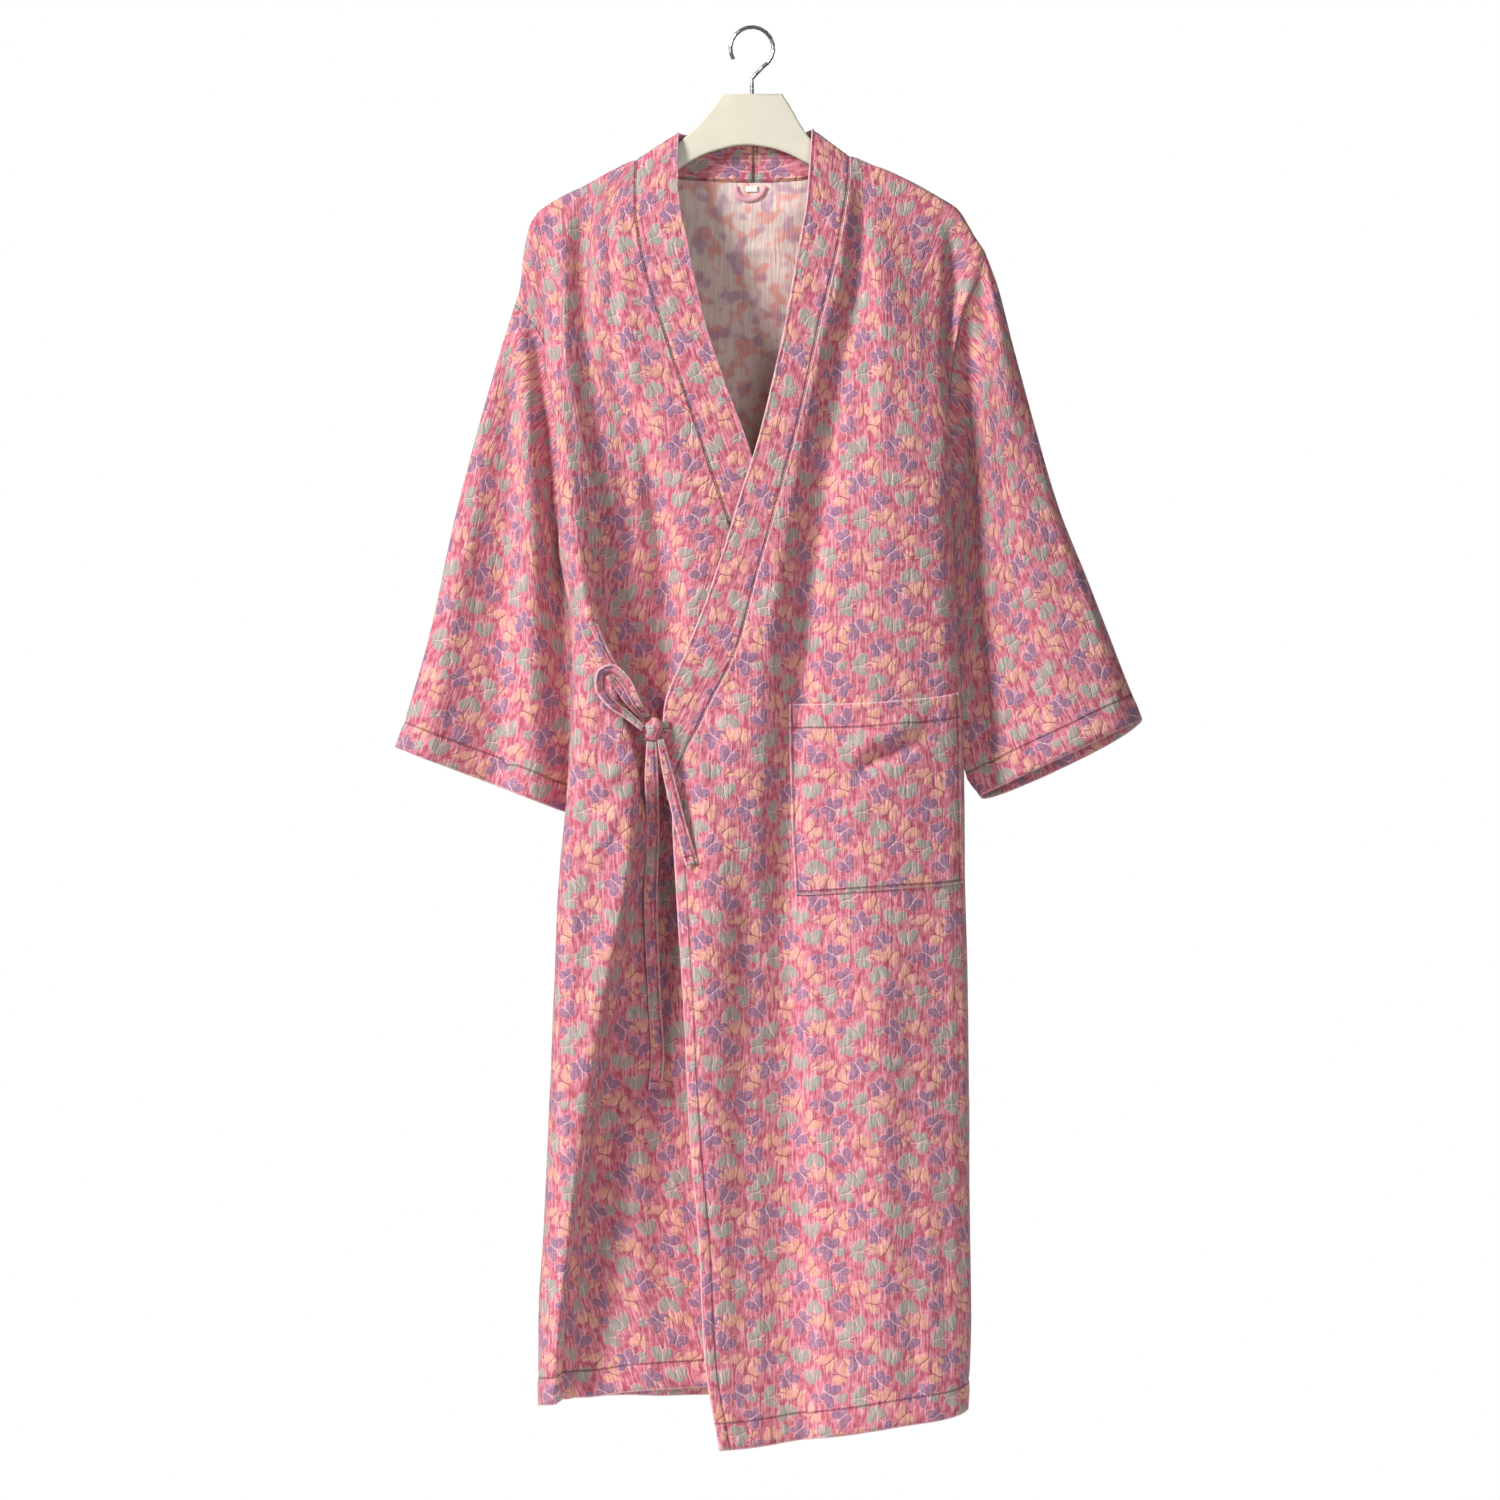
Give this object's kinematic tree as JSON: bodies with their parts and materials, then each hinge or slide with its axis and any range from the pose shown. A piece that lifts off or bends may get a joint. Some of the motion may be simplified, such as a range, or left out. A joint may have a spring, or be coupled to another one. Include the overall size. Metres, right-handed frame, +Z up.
{
  "type": "kimono robe on a hanger",
  "caption": "Calf-length cotton kimono robe with wide sleeves, a wrap front tied at the side, a neckband and a patch pocket, hanging on a plain white hanger.",
  "frame": {"origin": "top of the inside of the hanger's hook, where a rail bears", "axes": "+Z up along the robe's length; the front faces -Y and the back +Y; the wearer's left is +X"},
  "size_m": [0.6885, 0.1216, 1.3095],
  "materials": {
    "robe_cloth": "crinkled cotton, rose pink with a dense repeat of small butterflies",
    "band_cloth": "the same crinkled cotton, folded into a flat band with stitched edges",
    "tie_cloth": "the same crinkled cotton, folded into narrow ties",
    "loop_cloth": "narrow pale pink cotton strip",
    "label_cloth": "small bare woven label",
    "hanger_plastic": "smooth ivory white, softly glossy",
    "hook_wire": "bright round wire"
  },
  "bodies": {
    "root": {"back": "robe_cloth", "front_left": "robe_cloth", "front_right": "robe_cloth", "sleeve_left": "robe_cloth", "sleeve_right": "robe_cloth", "pocket": "robe_cloth", "collar_left": "band_cloth", "collar_right": "band_cloth", "tie_side": "tie_cloth", "tie_front": "tie_cloth", "bow_loop": "tie_cloth", "bow_knot": "tie_cloth", "tie_tail_long": "tie_cloth", "tie_tail_short": "tie_cloth", "hanging_loop": "loop_cloth", "neck_label": "label_cloth", "hanger": "hanger_plastic", "hanger_hook": "hook_wire"}
  },
  "joints": []
}
